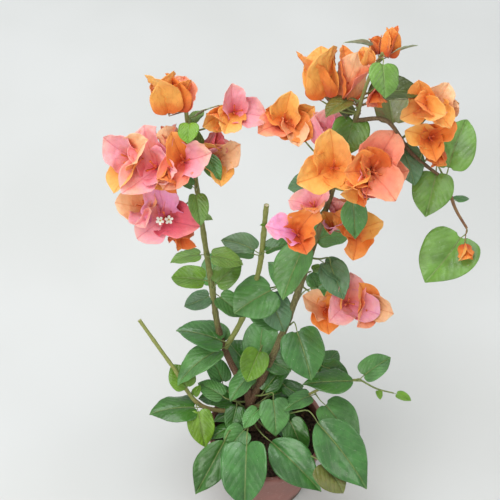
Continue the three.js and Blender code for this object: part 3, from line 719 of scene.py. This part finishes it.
# A copy of the model, curved into place. face is the way its upper side looks
def placeBlade(model, base, along, face, shape, upper, lower):
    side = along.cross(face).normalized()
    up = side.cross(along).normalized()
    mesh = model.data.copy()
    across, share, relief = placesOf(mesh).T
    spread, hand = np.abs(across), np.sign(across)
    steps, reachAt, dropAt, turnAt = bladeSpine(shape)
    reach = np.interp(share, steps, reachAt) + np.minimum(share, 0) * shape["length"]
    drop, turn = np.interp(share, steps, dropAt), np.interp(share, steps, turnAt)
    fold, cup = radians(shape["fold"]), radians(shape["cup"])
    slope = fold + cup * spread * (1.25 - 0.5 * share)
    half = shape["width"] / 2 * (1 + shape["ragged"] * np.sin(share * 9 + shape["phase"] + hand))
    out = hand * half * (np.sin(slope) - sin(fold)) / (slope - fold + 1e-9) * spread
    lift = half * (cos(fold) - np.cos(slope)) / (slope - fold + 1e-9) * spread
    wave = np.sin(share * shape["waves"] + shape["phase"] + hand * 1.1)
    ripple = shape["ripple"] * spread ** 2.5 * wave
    dents = crumple(across, share, shape["dentSize"], shape["phase"])
    folds = crumple(across, share, shape["dentSize"] * 0.8, shape["phase"] + 9)
    creases = 0.5 * dents + 0.6 - np.abs(folds)
    raised = (relief + ripple + shape["dents"] * creases * np.clip(share * 4, 0, 1)) * shape["length"]
    out = out - hand * np.sin(slope) * raised
    lift = lift + np.cos(slope) * raised
    twist = radians(shape["twist"]) * share
    swing = radians(shape["swing"]) * share * share * shape["length"] * 0.5
    sideways = out * np.cos(twist) - lift * np.sin(twist) + swing
    upwards = out * np.sin(twist) + lift * np.cos(twist)
    spots = np.outer(reach + np.sin(turn) * upwards, along)
    spots += np.outer(np.cos(turn) * upwards - drop, up)
    spots += np.outer(sideways, side)
    setPlaces(mesh, spots + np.array(base))
    mesh.materials[0] = upper
    mesh.materials[1] = lower
    return addObject(model.name, mesh)


# Points along the underside of a blade's midrib
def midribLine(base, along, face, shape, marks, below):
    side = along.cross(face).normalized()
    up = side.cross(along).normalized()
    steps, reachAt, dropAt, turnAt = bladeSpine(shape)
    points = []
    for mark in marks:
        reach, drop, turn = [float(np.interp(mark, steps, row)) for row in (reachAt, dropAt, turnAt)]
        swing = radians(shape["swing"]) * mark * mark * shape["length"] * 0.5
        normal = up * cos(turn) + along * sin(turn)
        points.append(base + along * reach - up * drop + side * swing - normal * below)
    return points


# Round stems through the points of each strand, as wide there as it says, joined in one mesh
def drawTubes(name, strands, sides, material):
    curve = bpy.data.curves.new(name, "CURVE")
    curve.dimensions = "3D"
    curve.bevel_depth = 1
    curve.bevel_resolution = sides // 2 - 2
    curve.use_fill_caps = True
    for strand in strands:
        line = curve.splines.new("POLY")
        line.points.add(len(strand) - 1)
        for point, (place, radius) in zip(line.points, strand):
            point.co = (*place, 1)
            point.radius = radius
    pick(addObject(name, curve))
    bpy.ops.object.convert(target="MESH")
    bpy.ops.object.shade_smooth()
    bpy.context.object.data.materials.append(material)
    return bpy.context.object


# Leaves

leafShape = {
    "widthShare": 0.74, "widthVaries": (0.94, 1.1), "longBelow": 0.65,
    "bend": (23, 48), "roll": (-20, 20), "fold": (5, 17),
    "steady": {"ragged": 0.015, "dents": 0.006, "dentSize": 0.22},
    "varied": {
        "cup": (-24, 8), "ripple": (0.015, 0.035), "waves": (7, 12), "phase": (0, 6), "twist": (-14, 14),
        "swing": (-16, 16),
    },
    "stalkShare": 0.2, "stalkRadius": 0.75 * mm, "fullLength": 45, "firstAt": 0.45,
}
leafGroups = {
    "leavesLeftBough": ["bough_left"],
    "leavesMiddle": ["stub_middle", "trunk"],
    "leavesRightBough": ["bough_right"],
    "leavesCrown": ["bough_right_top", "bough_right_side"],
    "leavesLow": ["stub_low_left", "shoot_low_right"],
}
twigLines, stalkLines, bloomLines = [], [], []


def addTwig(strand, lines, thin=1.0):
    marks = [i / 12 for i in range(13)]
    lines.append([(strand.at(s), thin * mix(twig["radius"], twig["tipRadius"], s)) for s in marks])


# The stalk leaves the twig's end along the twig, and runs on under the leaf as its midrib
def addStalk(start, leaving, base, along, face, shape, long):
    stalk = long * leafShape["stalkShare"] * mm
    thick = leafShape["stalkRadius"] * min(1, long / leafShape["fullLength"])
    elbow = start + (leaving * 0.5 + Vector((0, 0, -0.1))) * stalk
    line = [(start - leaving * mm, thick * 1.25)]
    for t in (0.25, 0.5, 0.75):
        line.append(((1 - t) ** 2 * start + 2 * t * (1 - t) * elbow + t * t * base, thick))
    marks = (0.02, 0.15, 0.3, 0.45, 0.6, 0.75, 0.88)
    under = midribLine(base, along, face, shape, marks, 0.6 * mm)
    line += [(place, thick * mix(0.8, 0.2, mark)) for place, mark in zip(under, marks)]
    stalkLines.append(line)


def growLeaves(things, limb, name, at, reach, leaves, hues, first=leafShape["firstAt"]):
    strand = sprayStrand(limb, at, reach)
    if name == "leaves_side_end":  # the long twig that hangs off the right bough is brown and stout
        addTwig(strand, bloomLines, twig["stout"])
    else:
        addTwig(strand, twigLines)
    draw, vary = seeded(name), seeded(name + " form")
    first = max(first, (limbRadius(limb, at) + 2.5 * mm) / strand.length)
    for i, (compass, climb, long, *usual) in enumerate(leaves):
        wide = usual[0] if usual else leafShape["widthShare"]
        tilt = usual[1] if len(usual) > 1 else 0
        share = 1 if len(leaves) == 1 else mix(first, 1, i / (len(leaves) - 1))
        bend, roll, fold = [draw(*leafShape[key]) for key in ("bend", "roll", "fold")]
        along = heading(compass, climb + bend / 2)
        face = Vector((0, 0, 1))
        face.rotate(Quaternion(along, radians(roll + tilt)))
        start = strand.at(share)
        base = start + along * (long * leafShape["stalkShare"] * mm)
        width = long * wide * draw(*leafShape["widthVaries"]) * mm
        shape = {"length": long * mm, "width": width, "bend": bend, "fold": fold, **leafShape["steady"]}
        shape.update({key: vary(*span) for key, span in leafShape["varied"].items()})
        model = bladeModels["heartLeaf" if wide > leafShape["longBelow"] else "longLeaf"]
        upper = leafMaterials[hues[i]]
        lower = upper if hues[i] in leafLook["sameBelow"] else leafMaterials["under"]
        things.append(placeBlade(model, base, along, face, shape, upper, lower))
        addStalk(start, strand.ahead(1) if share == 1 else along, base, along, face, shape, long)


for name, hosts in leafGroups.items():
    things, sprays = [], [(limbs[host], spray) for host in hosts for spray in foliage[host]]
    for limb, spray in sprays:
        growLeaves(things, limb, *spray)
    nodes = [spray[0] for limb, spray in sprays if spray[0].startswith("leaves")]
    finishPiece(joinAs(name, things), nodes)
print("leaves are on")


# Blooms: three bracts round three slender tubes, some of which end in an open white flower

bloomShape = {
    "length": 42, "lengthVaries": (0.92, 1.08), "widthShare": 1.08,
    "flare": 46, "flareVaries": (0.75, 1.25),
    # bracts of a bloom that opens less than straightAt curl inwards
    "curl": 26, "curlVaries": (0.5, 1.4), "straightAt": 0.42, "steady": {"fold": 10, "ragged": 0.045},
    "varied": {
        "cup": (30, 65), "hook": (-30, 45), "ripple": (0.04, 0.1), "waves": (8, 14), "phase": (0, 6),
        "twist": (-22, 22), "swing": (-20, 20), "dents": (0.014, 0.026), "dentSize": (0.2, 0.3),
    },
    "tubeLength": 17, "tubeVaries": (0.8, 1.1), "tubeRadius": 1.15, "tubeLean": (9, 20), "tubeBow": 0.1,
    "stalkRadius": 0.6 * mm,
    # the tube's share of radius along its length
    "tube": [
        (0, 0.5), (0.12, 0.85), (0.3, 1), (0.45, 0.75), (0.6, 0.7), (0.8, 0.85), (0.93, 1.05), (1, 0.6)],
}
starForm = {
    "lobes": 5, "radius": 5 * mm, "side": 0.9, "notch": 0.5, "throat": 0.3, "throatDepth": 0.3,
    "thickness": 0.07, "white": (0.86, 0.85, 0.74), "middle": (0.55, 0.6, 0.16),
}
bractGroups = {"orange": [], "coral": [], "pink": []}
bloomNodes = {group: [] for group in bractGroups}
tubeLines, stars = [], []


def modelStar():
    deselectAll()
    bpy.ops.mesh.primitive_circle_add(vertices=4 * starForm["lobes"], radius=1)
    star = bpy.context.object
    startEdit("VERT")

    def stepOf(v):  # 0 at the middle of a lobe, 2 at a notch
        return round(atan2(v.co.y, v.co.x) / (2 * pi) * 4 * starForm["lobes"]) % 4
    for steps, size in (((1, 3), starForm["side"]), ((2,), starForm["notch"])):
        selectWhere(star, lambda v: stepOf(v) in steps)
        bpy.ops.transform.resize(value=(size, size, 1))
    bpy.ops.mesh.select_mode(type="EDGE")
    bpy.ops.mesh.select_all(action="SELECT")
    bpy.ops.mesh.extrude_edges_move()
    bpy.ops.transform.resize(value=(starForm["throat"],) * 3)
    bpy.ops.transform.translate(value=(0, 0, -starForm["throatDepth"]))
    bpy.ops.mesh.edge_face_add()
    bpy.ops.mesh.select_all(action="SELECT")
    bpy.ops.mesh.normals_make_consistent(inside=False)
    endEdit()
    applyModifier(star, "SOLIDIFY", thickness=starForm["thickness"], offset=0)
    for name, colour in (("flowerWhite", starForm["white"]), ("flowerMiddle", starForm["middle"])):
        star.data.materials.append(stemMaterial(name, toned(colour, 0.8), colour))
    for face in star.data.polygons:
        face.material_index = int(hypot(*face.center[:2]) < starForm["throat"] * 0.9)
    return star


def growTube(heart, axis, outward, size, vary, isOpen):
    lean = radians(vary(*bloomShape["tubeLean"]))
    along = axis * cos(lean) + outward * sin(lean)
    long = bloomShape["tubeLength"] * size * vary(*bloomShape["tubeVaries"]) * mm
    wide = bloomShape["tubeRadius"] * size * mm
    bow = outward * bloomShape["tubeBow"] * long
    line = [(heart + along * long * s + bow * s * s, wide * r) for s, r in bloomShape["tube"]]
    tubeLines.append(line)
    if isOpen:
        mesh = starModel.data.copy()
        tip = line[-1][0]
        turned = (tip - line[-2][0]).to_track_quat("Z", "Y").to_matrix().to_4x4()
        scaled = Matrix.Diagonal((*[starForm["radius"]] * 3, 1))
        mesh.transform(Matrix.Translation(tip + along * mm) @ turned @ scaled)
        stars.append(addObject("star", mesh))


def growBlooms(limb, name, at, reach, blooms):
    strand = sprayStrand(limb, at, reach)
    addTwig(strand, twigLines, twig["fine"])
    draw, vary = seeded(name), seeded(name + " form")
    tip = strand.at(1)
    for stalk, compass, climb, size, turn, opening, hues, *wide in blooms:
        widthShare = wide[0] if wide else bloomShape["widthShare"]
        bracts = []
        for i in range(3):
            flare = bloomShape["flare"] * draw(*bloomShape["flareVaries"]) * opening
            long = bloomShape["length"] * size * draw(*bloomShape["lengthVaries"]) * mm
            curl = bloomShape["curl"] * draw(*bloomShape["curlVaries"])
            bracts.append((flare, long, curl * (opening - bloomShape["straightAt"]) * 1.5))
        axis = heading(compass, climb)
        heart = tip + Vector(stalk) * mm
        thick = bloomShape["stalkRadius"] * mix(0.7, 1, size)
        elbow = heart - axis * 4 * size * mm
        bloomLines.append([
            (tip - (elbow - tip).normalized() * mm, thick * 1.3), (tip.lerp(elbow, 0.5), thick),
            (elbow, thick * 1.1), (heart - axis * mm, thick * 1.6), (heart + axis * mm, thick * 2)])
        sideways = Vector((0, 0, 1)).cross(axis).normalized()
        for i, (flare, long, bend) in enumerate(bracts):
            outward = sideways.copy()
            outward.rotate(Quaternion(axis, radians(turn + i * 120)))
            lean = radians(flare)
            along = axis * cos(lean) + outward * sin(lean)
            face = axis * sin(lean) - outward * cos(lean)
            shape = {"length": long, "width": long * widthShare, "bend": bend, **bloomShape["steady"]}
            shape.update({key: vary(*span) for key, span in bloomShape["varied"].items()})
            shape["ripple"] *= min(1, opening)
            if not hues:
                reachOut = outward * bloomShape["tubeLength"]
                bloomLines.append([(heart + reachOut * r * mm, thick * 1.3) for r in (0, 0.5, 1)])
                continue
            growTube(heart, axis, outward, size, vary, hues.count("*") > i)
            material = bractMaterials[hues[i]]
            base = heart - axis * 1.5 * mm
            bract = placeBlade(bladeModels["bract"], base, along, face, shape, material, material)
            bractGroups[groupOf[hues[i]]].append(bract)


starModel = modelStar()
for host, sprays in blossom.items():
    for spray in sprays:
        growBlooms(limbs[host], *spray)
        if spray[0].startswith("blossom"):
            firstHue = spray[3][0][6][0]
            bloomNodes[groupOf[firstHue]].append(spray[0])
for hue, things in bractGroups.items():
    finishPiece(joinAs("bracts" + hue.title(), things), bloomNodes[hue])
finishPiece(joinAs("openFlowers", stars))
remove(starModel, *bladeModels.values())
finishPiece(drawTubes("flowerTubes", tubeLines, 8, bractMaterials["f"]))
print("blooms are on")

finishPiece(joinAs("twigs", [
    drawTubes("twigs", twigLines, 8, stemMaterials["twig"]),
    drawTubes("leafStalks", stalkLines, 6, stemMaterials["twig"]),
    drawTubes("bloomStalks", bloomLines, 6, stemMaterials["rust"]),
]))
print("twigs are on")


# Trunk and boughs, with the bark's relief

bark = {
    "step": 2.2 * mm, "sides": 16, "nodeEvery": 34 * mm, "nodeSwell": 0.13, "nodeLength": 3 * mm,
    "grain": 2.4, "depth": 0.09, "trunkDepth": 1.6, "lumpDepth": 0.12,
    # how fine each kind of relief is round the limb and along it
    "fissure": (1.6, 90), "lump": (0.5, 35), "ridge": (3.5, 160),
    "cutRim": 0.22, "cutHollow": 0.5 * mm,
}


def reliefAt(kind, around, walked, shift):
    fine, along = bark[kind]
    return noise.noise(around * fine + Vector((*shift, walked * along)))


def modelLimb(name, limb):
    strand, vary, isCut = limb["strand"], seeded(name + " bark"), name.startswith("stub")
    steps = max(12, round(strand.length / bark["step"]))
    line = [(strand.at(i / steps), limbRadius(limb, i / steps)) for i in range(steps + 1)]
    if not isCut:
        line.append((line[-1][0] + strand.ahead(1) * line[-1][1] * 0.5, line[-1][1] * 0.45))
    piece = drawTubes(limb["piece"], [line], bark["sides"], stemMaterials[limb["look"]])
    places = placesOf(piece.data)
    marks = np.array([place for place, radius in line])
    nearest = np.argmin(((places[:, None, :] - marks[None, :, :]) ** 2).sum(2), axis=1)
    offset = vary(0, 20)
    depth = bark["depth"] * (bark["trunkDepth"] if name == "trunk" else 1)
    for i, spot in enumerate(places):
        centre, radius = line[nearest[i]]
        out = Vector(spot) - centre
        if out.length < 1e-6:
            continue
        walked = nearest[i] / steps * strand.length
        around = out.normalized() * bark["grain"]
        fissure = reliefAt("fissure", around, walked, (offset, 0))
        lump = reliefAt("lump", around, walked, (0, offset))
        ridge = reliefAt("ridge", around, walked, (0, offset))
        fromNode = abs((walked / bark["nodeEvery"] + offset) % 1 - 0.5) * bark["nodeEvery"]
        swell = bark["nodeSwell"] * exp(-(fromNode / bark["nodeLength"]) ** 2)
        grow = 1 + depth * (0.6 * fissure + 0.5 * ridge) + bark["lumpDepth"] * lump + swell
        places[i] = centre + out * grow
    setPlaces(piece.data, places)
    if isCut:
        piece.data.materials.append(stemMaterials["cut"])
        end, ahead = line[-1][0], strand.ahead(1)

        def atCut(face):
            return (face.calc_center_median() - end).length < 3 * mm and face.normal.dot(ahead) > 0.9
        pick(piece)
        startEdit("FACE")
        selectWhere(piece, atCut, "faces")
        bpy.ops.mesh.inset(thickness=limb["radius"][1] * bark["cutRim"] * mm)
        piece.active_material_index = 1
        bpy.ops.object.material_slot_assign()
        bpy.ops.transform.translate(value=ahead * -bark["cutHollow"])
        endEdit()
    return piece


for name, limb in limbs.items():
    finishPiece(modelLimb(name, limb), [name])
print("bark is on")


# Pot

potLook = {
    "clay": (0.24, 0.085, 0.062), "dusty": (0.36, 0.17, 0.145), "dirt": (0.09, 0.06, 0.04),
    "speck": (0.45, 0.3, 0.26), "dirtUpTo": 35 * mm, "creaseAngle": 35,
}


def potMaterial():
    material, tree = newMaterial("potPlastic", Specular_IOR_Level=0.4)
    dust = ranged(noiseOf(tree, 14, 6.0), 0.4, 0.66)
    body = blended(dust, potLook["clay"], potLook["dusty"])
    speckled = blended(ranged(noiseOf(tree, 210, 4.0), 0.62, 0.7, 0.0, 0.55), body, potLook["speck"])
    lowDown = ranged(heightOn(tree), potLook["dirtUpTo"], 0.0)
    splash = times(lowDown, ranged(noiseOf(tree, 60, 5.0), 0.35, 0.6))
    soiled = blended(splash, speckled, potLook["dirt"])
    scuffs = times(noiseOf(tree, 60, 3.0, (1, 1, 6)), 0.6, noiseOf(tree, 500, 3.0))
    return paint(material, soiled, scuffs, 0.22, 0.6 * mm, ranged(dust, 0.0, 1.0, 0.42, 0.72))


def modelPot():
    height, wall, rim = pot["height"], pot["wall"], pot["rimRadius"]
    lipFoot = height - pot["lipHeight"]
    underLip = rim - pot["lipProud"]
    inner = underLip - wall
    deselectAll()
    bpy.ops.mesh.primitive_cone_add(
        vertices=pot["sides"], radius1=pot["baseRadius"], radius2=underLip, depth=lipFoot,
        location=(0, 0, lipFoot / 2))
    shell = bpy.context.object
    startEdit("FACE")
    selectWhere(shell, lambda f: f.normal.z > 0.99, "faces")
    rings = [  # the open top is drawn over the lip and down the inside
        (underLip, lipFoot), (rim - 0.6 * mm, lipFoot), (rim, lipFoot + 1 * mm), (rim, height - 1.4 * mm),
        (rim - 0.5 * mm, height - 0.5 * mm), (rim - 1.4 * mm, height), (inner + 1.2 * mm, height),
        (inner + 0.3 * mm, height - 0.5 * mm), (inner, height - 1.4 * mm), (inner, lipFoot),
        (mix(pot["baseRadius"] - wall, inner, 0.1), pot["floor"]),
    ]
    for (lastRadius, lastZ), (radius, z) in zip(rings, rings[1:]):
        bpy.ops.mesh.extrude_region_move()
        bpy.ops.transform.resize(value=(radius / lastRadius, radius / lastRadius, 1))
        bpy.ops.transform.translate(value=(0, 0, z - lastZ))
    endEdit()
    bpy.ops.object.transform_apply(location=True, rotation=True, scale=True)
    drills = []
    for i in range(pot["drainHoles"]):
        turn = 2 * pi * i / pot["drainHoles"]
        place = (pot["drainRing"] * cos(turn), pot["drainRing"] * sin(turn), 0)
        deselectAll()
        bpy.ops.mesh.primitive_cylinder_add(
            vertices=24, radius=pot["drainRadius"], depth=4 * pot["floor"], location=place)
        drills.append(bpy.context.object)
    drill = joinAs("drill", drills)
    applyModifier(shell, "BOOLEAN", operation="DIFFERENCE", object=drill, solver="EXACT")
    remove(drill)
    pick(shell)
    bpy.ops.object.shade_smooth_by_angle(angle=radians(potLook["creaseAngle"]))
    shell.data.materials.append(potMaterial())
    shell.name = "nurseryPot"
    return shell


finishPiece(modelPot(), ["pot"])
print("pot is up")


# Growing mix: a bed that heaps up a little at the wall, strewn with lumps and chips

soilLook = {"damp": (0.035, 0.02, 0.014), "dry": (0.11, 0.065, 0.042), "chip": (0.16, 0.075, 0.045)}
growingMix = {
    "rings": 14, "ringShare": 15.5, "gap": 0.3 * mm, "heapFrom": 0.75, "heap": 7, "dip": 0.8,
    "rough": [(90, 1.6), (260, 1.1)],  # scales and heights in mm of the bed's roughness
    "bits": 300, "strewn": 0.94, "lumps": 0.62, "chipHued": 0.45,
    "size": (0.7, 2.2), "sunk": (-0.8, 0.5), "tilt": (-0.3, 0.3), "stretch": (2.2, 4.5),
}


def soilMaterial(name, dark, pale, scale):
    material, tree = newMaterial(name, Specular_IOR_Level=0.3, Roughness=0.9)
    grain = noiseOf(tree, scale, 6.0)
    return paint(material, blended(ranged(grain, 0.35, 0.65), dark, pale), grain, 0.8, 1.5 * mm)


soilMaterials = [
    soilMaterial("mixDamp", soilLook["damp"], soilLook["dry"], 260),
    soilMaterial("mixChip", soilLook["chip"], toned(soilLook["chip"], 1.9), 300),
]


def modelSoil():
    level = soilTop / (pot["height"] - pot["lipHeight"])
    wallAt = mix(pot["baseRadius"], pot["rimRadius"] - pot["lipProud"], level)
    radius = wallAt - pot["wall"] - growingMix["gap"]
    bedFoot = pot["floor"] + 0.4 * mm
    deselectAll()
    bpy.ops.mesh.primitive_cone_add(
        vertices=72, radius1=pot["baseRadius"] - pot["wall"] - 0.6 * mm, radius2=radius,
        depth=soilTop - bedFoot, location=(0, 0, (soilTop + bedFoot) / 2))
    bed = bpy.context.object
    startEdit("FACE")
    selectWhere(bed, lambda f: f.normal.z > 0.99, "faces")
    for _ in range(growingMix["rings"]):
        bpy.ops.mesh.inset(thickness=radius / growingMix["ringShare"])
    bpy.ops.mesh.poke()
    endEdit()
    bpy.ops.object.transform_apply(location=True)

    def heapAt(away):
        return max(0, away / radius - growingMix["heapFrom"]) * growingMix["heap"]
    places = placesOf(bed.data)
    for spot in places:
        if spot[2] > soilTop - 1e-5:
            rough = sum(noise.noise(Vector(spot) * scale) * high for scale, high in growingMix["rough"])
            heap = heapAt(hypot(spot[0], spot[1]))
            spot[2] += (rough * (0.4 if heap > 1.6 else 1) + heap - growingMix["dip"]) * mm
    setPlaces(bed.data, places)
    bed.data.materials.append(soilMaterials[0])
    draw = seeded("growing mix")
    bits = [bed]
    deselectAll()
    bpy.ops.mesh.primitive_ico_sphere_add(subdivisions=1, radius=1)
    lump = bpy.context.object
    deselectAll()
    bpy.ops.mesh.primitive_cube_add(size=1)
    chip = bpy.context.object
    applyModifier(chip, "BEVEL", width=0.16, segments=1)
    for i in range(growingMix["bits"]):
        model = lump if draw() < growingMix["lumps"] else chip
        mesh = model.data.copy()
        away, turn = radius * growingMix["strewn"] * sqrt(draw()), draw(0, 2 * pi)
        size = draw(*growingMix["size"]) * mm
        if model is lump:
            stretch = (1, draw(0.6, 1), draw(0.5, 0.9))
        else:
            stretch = (draw(*growingMix["stretch"]), draw(0.9, 1.8), 0.45)
        axis = (draw(*growingMix["tilt"]), draw(*growingMix["tilt"]), 1)
        spin = Quaternion(axis, draw(0, 6.28)).to_matrix().to_4x4()
        z = soilTop + draw(*growingMix["sunk"]) * mm + heapAt(away) * mm
        shift = Matrix.Translation((away * cos(turn), away * sin(turn), z))
        mesh.transform(shift @ spin @ Matrix.Diagonal((*[size * s for s in stretch], 1)))
        mesh.materials.append(soilMaterials[1 if draw() < growingMix["chipHued"] else 0])
        bits.append(addObject("bit", mesh))
    remove(lump, chip)
    return joinAs("growingMix", bits)


finishPiece(modelSoil(), ["soil"])
print("soil is in")


# Floor

floorLook = {"size": 14, "level": -0.5 * mm, "pale": (0.62, 0.62, 0.6), "paler": (0.66, 0.66, 0.645)}
deselectAll()
bpy.ops.mesh.primitive_plane_add(size=floorLook["size"], location=(0, 0, floorLook["level"]))
studioFloor = bpy.context.object
studioFloor.name = "studioFloor"
material, tree = newMaterial("paleFloor", Roughness=0.9, Specular_IOR_Level=0.2)
grain = ranged(noiseOf(tree, 3, 2.0), 0.3, 0.7)
studioFloor.data.materials.append(paint(material, blended(grain, floorLook["pale"], floorLook["paler"])))
